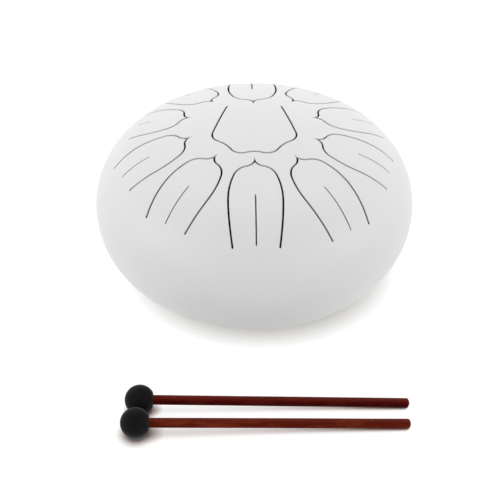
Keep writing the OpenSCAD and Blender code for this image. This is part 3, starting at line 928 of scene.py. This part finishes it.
# Bright zinc plate: faint blue and yellow tints, and a dull bloom in patches
zinc = cloudedMaterial({
    "name": "zincPlate", "sockets": {"Metallic": 1.0}, "cloudSize": 0.004, "colour": (0.55, 0.58, 0.62),
    "cloudColour": (0.66, 0.64, 0.58), "mottle": (0.35, 0.65), "roughness": (0.24, 0.42),
    "grainSize": 0.0005, "grain": 0.5, "grainDepth": 0.000006})
# Seats by their distance from the crown's centre
seat = crownR + foot["grip"] + fastener["washerThick"]
insideSeat = math.sqrt((crownR - wall) ** 2 - (fastener["washer"] / 2) ** 2)
nutSeat = insideSeat - fastener["washerThick"]
for name, node, part, distance in (("footScrews", "foot_screws", screwPart(fastener), seat),
                                   ("soleWashers", "sole_washers", washerPart(fastener), seat),
                                   ("shellWashers", "shell_washers", washerPart(fastener), insideSeat),
                                   ("footNuts", "foot_nuts", nutPart(fastener), nutSeat)):
    addPiece(madeOf(name, onScrews(part, distance), fastener["sharpAngle"]), [zinc], "drum",
             "fastener_steel", node)
print("fasteners")

# Mallets, laid along +X: z runs down the stick from the head's centre. waves are the millimetres to a radian
# of the waver, pole and rimFrom the angles that the ball leaves free at its back pole and at its flat
mallet = {"length": 209.0, "stick": 7.1, "stickDome": 1.6, "stickAround": 56, "stickRings": 90,
          "waver": 0.03, "waves": (31, 13), "waverFade": 20, "domeEdge": 0.25, "domeIn": 0.12,
          "domeTop": 0.06, "domeRings": 9, "head": 22.0, "headAround": 72, "headRings": 46, "pole": 0.04,
          "rimFrom": 0.07, "headFlat": 1.4, "rimIn": 0.9, "rimRound": 0.55, "rimSteps": 5,
          "headBore": 15.0, "boreFit": 0.02, "mouth": 0.6, "mouthDown": 1, "mouthRound": 0.3,
          "besideX": 1.3, "gap": 0.4, "sharpAngle": 50}
# How each mallet lies: its head's place from the drum's axis, its turn in degrees and its waver's phase
backLies = {"head": (-84.3, -157.5), "yaw": 0.9, "phase": 0.4}
backX, backY = backLies["head"]
forward = math.sqrt((mallet["head"] + mallet["gap"]) ** 2 - mallet["besideX"] ** 2)
frontLies = {"head": (backX - mallet["besideX"], backY - forward), "yaw": 1.5, "phase": 2.1}
# Down from the head to the stick's free end, which rests on the floor too
slope = math.degrees(math.asin((mallet["head"] - mallet["stick"]) / 2
                               / (mallet["length"] - mallet["head"] / 2 - mallet["stickDome"])))


def stickPart(v, phase):
    # r = half the width with a slow waver along and round it; the free end is a dome of height stickDome
    headR, r, turn = v["head"] / 2, v["stick"] / 2, circle(v["stickAround"])
    start, end = v["headFlat"] + v["headBore"] - headR, v["length"] - headR
    domeR = (r ** 2 + v["stickDome"] ** 2) / (2 * v["stickDome"])
    z = np.linspace(-start, end - v["stickDome"] - v["domeEdge"], v["stickRings"])[:, None]
    long, short = v["waves"]
    wave = np.sin(z / long + phase + turn) + 0.5 * np.sin(z / short + 2 * turn + 3 * phase)
    ripple = v["waver"] * wave * np.clip(np.minimum(z, end - z) / v["waverFade"], 0, 1)
    lean = np.linspace(math.asin((r - v["domeIn"]) / domeR), v["domeTop"], v["domeRings"])[:, None]
    dome = ringsOf(turn, domeR * np.sin(lean), end - domeR + domeR * np.cos(lean))
    return ringed(np.concatenate([ringsOf(turn, r + ripple, z), dome]))


def headPart(v):
    # Ball: (R cos a, R sin a) from the back pole to the flat, then over its round edge and down the bore
    headR, bore = v["head"] / 2, v["stick"] / 2
    flat, hole = headR - v["headFlat"], bore + v["boreFit"]
    edge = math.asin(flat / headR)
    a = np.linspace(-math.pi / 2 + v["pole"], edge - v["rimFrom"], v["headRings"])
    ball = headR * aim(a)
    rim = headR * math.cos(edge)
    lip = rounded([ball[-1], (rim, flat), (rim - v["rimIn"], flat)], v["rimRound"], v["rimSteps"])[1:]
    mouth = rounded([(bore + v["mouth"], flat), (hole, flat), (hole, flat - v["mouthDown"])], v["mouthRound"])
    bottom = headR - v["headFlat"] - v["headBore"] - v["boreFit"]
    down = [(hole, 0), (hole, bottom), (bore / 2, bottom)]
    return turned(np.concatenate([ball, lip, mouth, down]), v["headAround"])


# Stained and oiled wood: the ranges of its noises and, in metres, the sway that the streaks give the sides
# and where the painted highlight on the upper back side and the painted shade on the lower front come in
woodLook = {"streaks": (0.36, 0.64), "patches": (0.48, 0.68), "lines": (0.5, 0.68), "pores": (0.66, 0.74),
            "sway": 0.003, "paintedLight": (0.0015, -0.0015), "paintedShade": (0.0, 0.0035), "shadeWay": (0.7, -0.7, 0),
            "mottle": (0.3, 0.7), "lineSink": 0.5, "shine": 0.03}
# Each wood's own layers are a share and a colour; two of them are a painted highlight and a painted shade
maroonWood = {"name": "maroonWood", "dark": (0.062, 0.002, 0.001), "middle": (0.125, 0.0085, 0.005),
              "paintedLight": (0.8, (0.15, 0.024, 0.016)), "paintedShade": (0.85, (0.045, 0.0004, 0.0002)),
              "patches": (0.35, (0.17, 0.02, 0.011)), "lines": (0.4, (0.035, 0.001, 0.0006)), "seed": 1.7,
              "roughness": (0.36, 0.5), "poreDepth": 0.00003}
brownWood = {"name": "brownWood", "dark": (0.078, 0.0045, 0.001), "middle": (0.135, 0.0135, 0.005),
             "paintedLight": (0.6, (0.15, 0.03, 0.022)), "paintedShade": (0.3, (0.09, 0.006, 0.001)),
             "patches": (0.6, (0.25, 0.045, 0.016)), "lines": (0.5, (0.05, 0.003, 0.0006)), "seed": 5.2,
             "roughness": (0.38, 0.52), "poreDepth": 0.00004}


def woodMaterial(v, turn, place):
    # Streaks along the stick, a painted highlight on its upper side and painted shade on its lower side,
    # lighter patches, thin dark grain lines and sunk pores
    look = woodLook
    material, tree, shader, whole = newMaterial(v["name"], {"Specular IOR Level": look["shine"]})
    onStick = fromNode(tree, "Mapping", {"Vector": whole, "Location": [x * millimetre for x in place],
                                         "Rotation": Matrix(turn.tolist()).to_euler()}, vector_type="TEXTURE")
    figure = useGroup(tree, woodFigure, onStick, Seed=v["seed"])
    # The stick's lower front side takes painted shade and its upper back side a painted highlight
    toShade = newNode(tree, "VectorMath", {0: onStick, 1: look["shadeWay"]}, operation="DOT_PRODUCT")
    side = mathNode(tree, "MULTIPLY_ADD", figure["Streaks"], look["sway"], toShade.outputs["Value"])
    colour = blended(tree, ranged(tree, figure["Streaks"], *look["streaks"], 0, 1), v["dark"], v["middle"])
    # First the painted highlight and the painted shade, then the wood's own patches and lines
    for layer, value in (("paintedLight", side), ("paintedShade", side), ("patches", figure["Patches"]),
                         ("lines", figure["Lines"])):
        share, tint = v[layer]
        colour = blended(tree, ranged(tree, value, *look[layer], 0, share), colour, tint)
    pore = ranged(tree, figure["Pores"], *look["pores"], 0, 1)
    sunk = mathNode(tree, "ADD", pore, mathNode(tree, "MULTIPLY", figure["Lines"], look["lineSink"]))
    rough = ranged(tree, figure["Streaks"], *look["mottle"], *v["roughness"])
    feedShader(tree, shader, blended(tree, pore, colour, v["lines"][1]), rough, sunk, -v["poreDepth"])
    return material


# The heads' rubber has a faint bloom seen edge on
headRubber = cloudedMaterial({
    "name": "headRubber", "cloudSize": 0.02,
    "sockets": {"Specular IOR Level": 0.05, "Sheen Weight": 0.16, "Sheen Roughness": 0.4},
    "colour": (0.0045, 0.0045, 0.0047), "cloudColour": (0.008, 0.008, 0.008), "mottle": (0.3, 0.7),
    "roughness": (0.6, 0.8), "grainSize": 0.0008, "grain": 0.5, "grainDepth": 0.00003})
for side, lies, wood, slot in (("Back", backLies, maroonWood, "stick_maroon"),
                               ("Front", frontLies, brownWood, "stick_brown")):
    turn, ending = turnZ(lies["yaw"]) @ turnY(90 + slope), "_" + side.lower()
    at = [lies["head"][0], lies["head"][1] + drum["centreY"], mallet["head"] / 2]
    for name, part, material, kind in (
            ("stick", stickPart(mallet, lies["phase"]), woodMaterial(wood, turn, at), slot),
            ("head", headPart(mallet), headRubber, "head_rubber")):
        mesh = madeOf(name + side, [placed(part, turn, at)], mallet["sharpAngle"])
        addPiece(mesh, [material], "mallet" + ending, kind, name + ending)
print("mallets")
